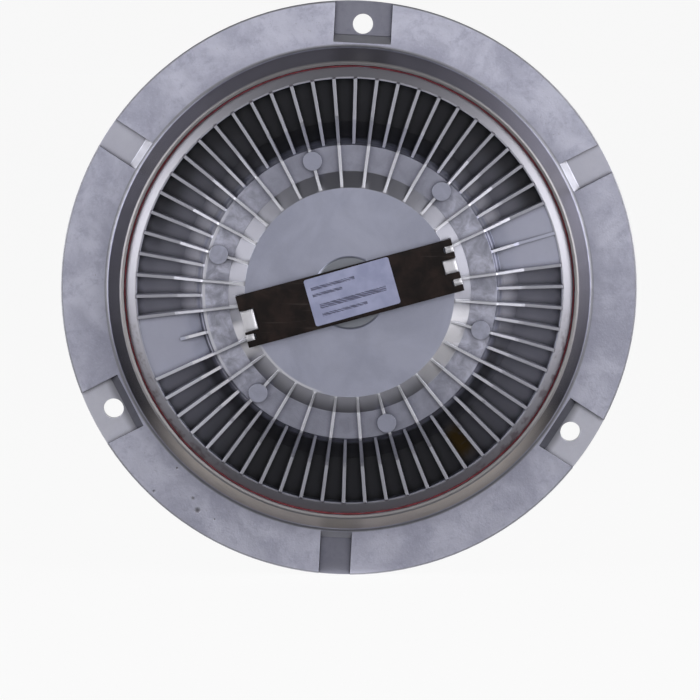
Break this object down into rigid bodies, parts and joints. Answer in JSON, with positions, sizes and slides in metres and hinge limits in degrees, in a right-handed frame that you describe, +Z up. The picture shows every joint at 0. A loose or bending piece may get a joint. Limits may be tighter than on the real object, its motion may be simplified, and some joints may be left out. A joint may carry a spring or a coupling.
{
  "type": "viscous fan clutch",
  "caption": "Viscous cooling fan clutch: finned round aluminium drum with a bolt flange and a bimetal strip across its front, spinning on a threaded steel hub.",
  "frame": {"origin": "centre of the threaded hole at the hub's rear face", "axes": "+Y along the spin axis towards the engine and out of the threaded hole, -Y towards the finned front face, +Z up, +X to the right as seen from the front"},
  "size_m": [0.2, 0.0738, 0.2],
  "materials": {
    "housing_cast": "cast, flange lightly turned",
    "cover_cast": "die-cast, rim turned bright",
    "red_sealant": "satin silicone",
    "bearing_steel": "ground",
    "ball_steel": "polished",
    "cage_plastic": "glass-filled",
    "seal_rubber": "matte",
    "spring_steel": "phosphated",
    "hub_steel": "turned, light oil",
    "rotor_aluminium": "turned",
    "plate_steel": "stamped",
    "leaf_bronze": "rolled",
    "pin_steel": "ground",
    "strip_dark": "dark oxide",
    "label_foil": "satin foil"
  },
  "bodies": {
    "hub": {"hub_shaft": "hub_steel", "bearing_inner_ring": "bearing_steel", "rotor": "rotor_aluminium", "rotor_circlip": "spring_steel"},
    "housing": {"housing_body": "housing_cast", "front_cover": "cover_cast", "cover_seal": "red_sealant", "bearing_outer_ring": "bearing_steel", "bearing_front_seal": "seal_rubber", "bearing_rear_seal": "seal_rubber", "bearing_circlip": "spring_steel", "separator_plate": "plate_steel", "valve_lever": "leaf_bronze", "lever_rivet": "pin_steel", "bimetal_strip": "strip_dark", "strip_label": "label_foil"},
    "ball_cage": {"bearing_balls": "ball_steel", "bearing_cage": "cage_plastic"},
    "control_pin": {"control_pin": "pin_steel", "pin_o_ring": "seal_rubber"}
  },
  "joints": [
    {"name": "housing_spin", "type": "hinge", "parent": "hub", "child": "housing", "pos_m": [0, 0, 0], "axis": [0, -1, 0], "continuous": true},
    {"name": "cage_spin", "type": "hinge", "parent": "hub", "child": "ball_cage", "pos_m": [0, 0, 0], "axis": [0, -1, 0], "continuous": true},
    {"name": "pin_lift", "type": "slide", "parent": "housing", "child": "control_pin", "axis": [0, -1, 0], "range_m": [0, 0.0015], "stiffness_N_per_m": 300, "deforming": ["bimetal_strip", "strip_label", "valve_lever"]}
  ],
  "couplings": [
    {"joint": "cage_spin", "follows": "housing_spin", "ratio": 0.6052}
  ]
}
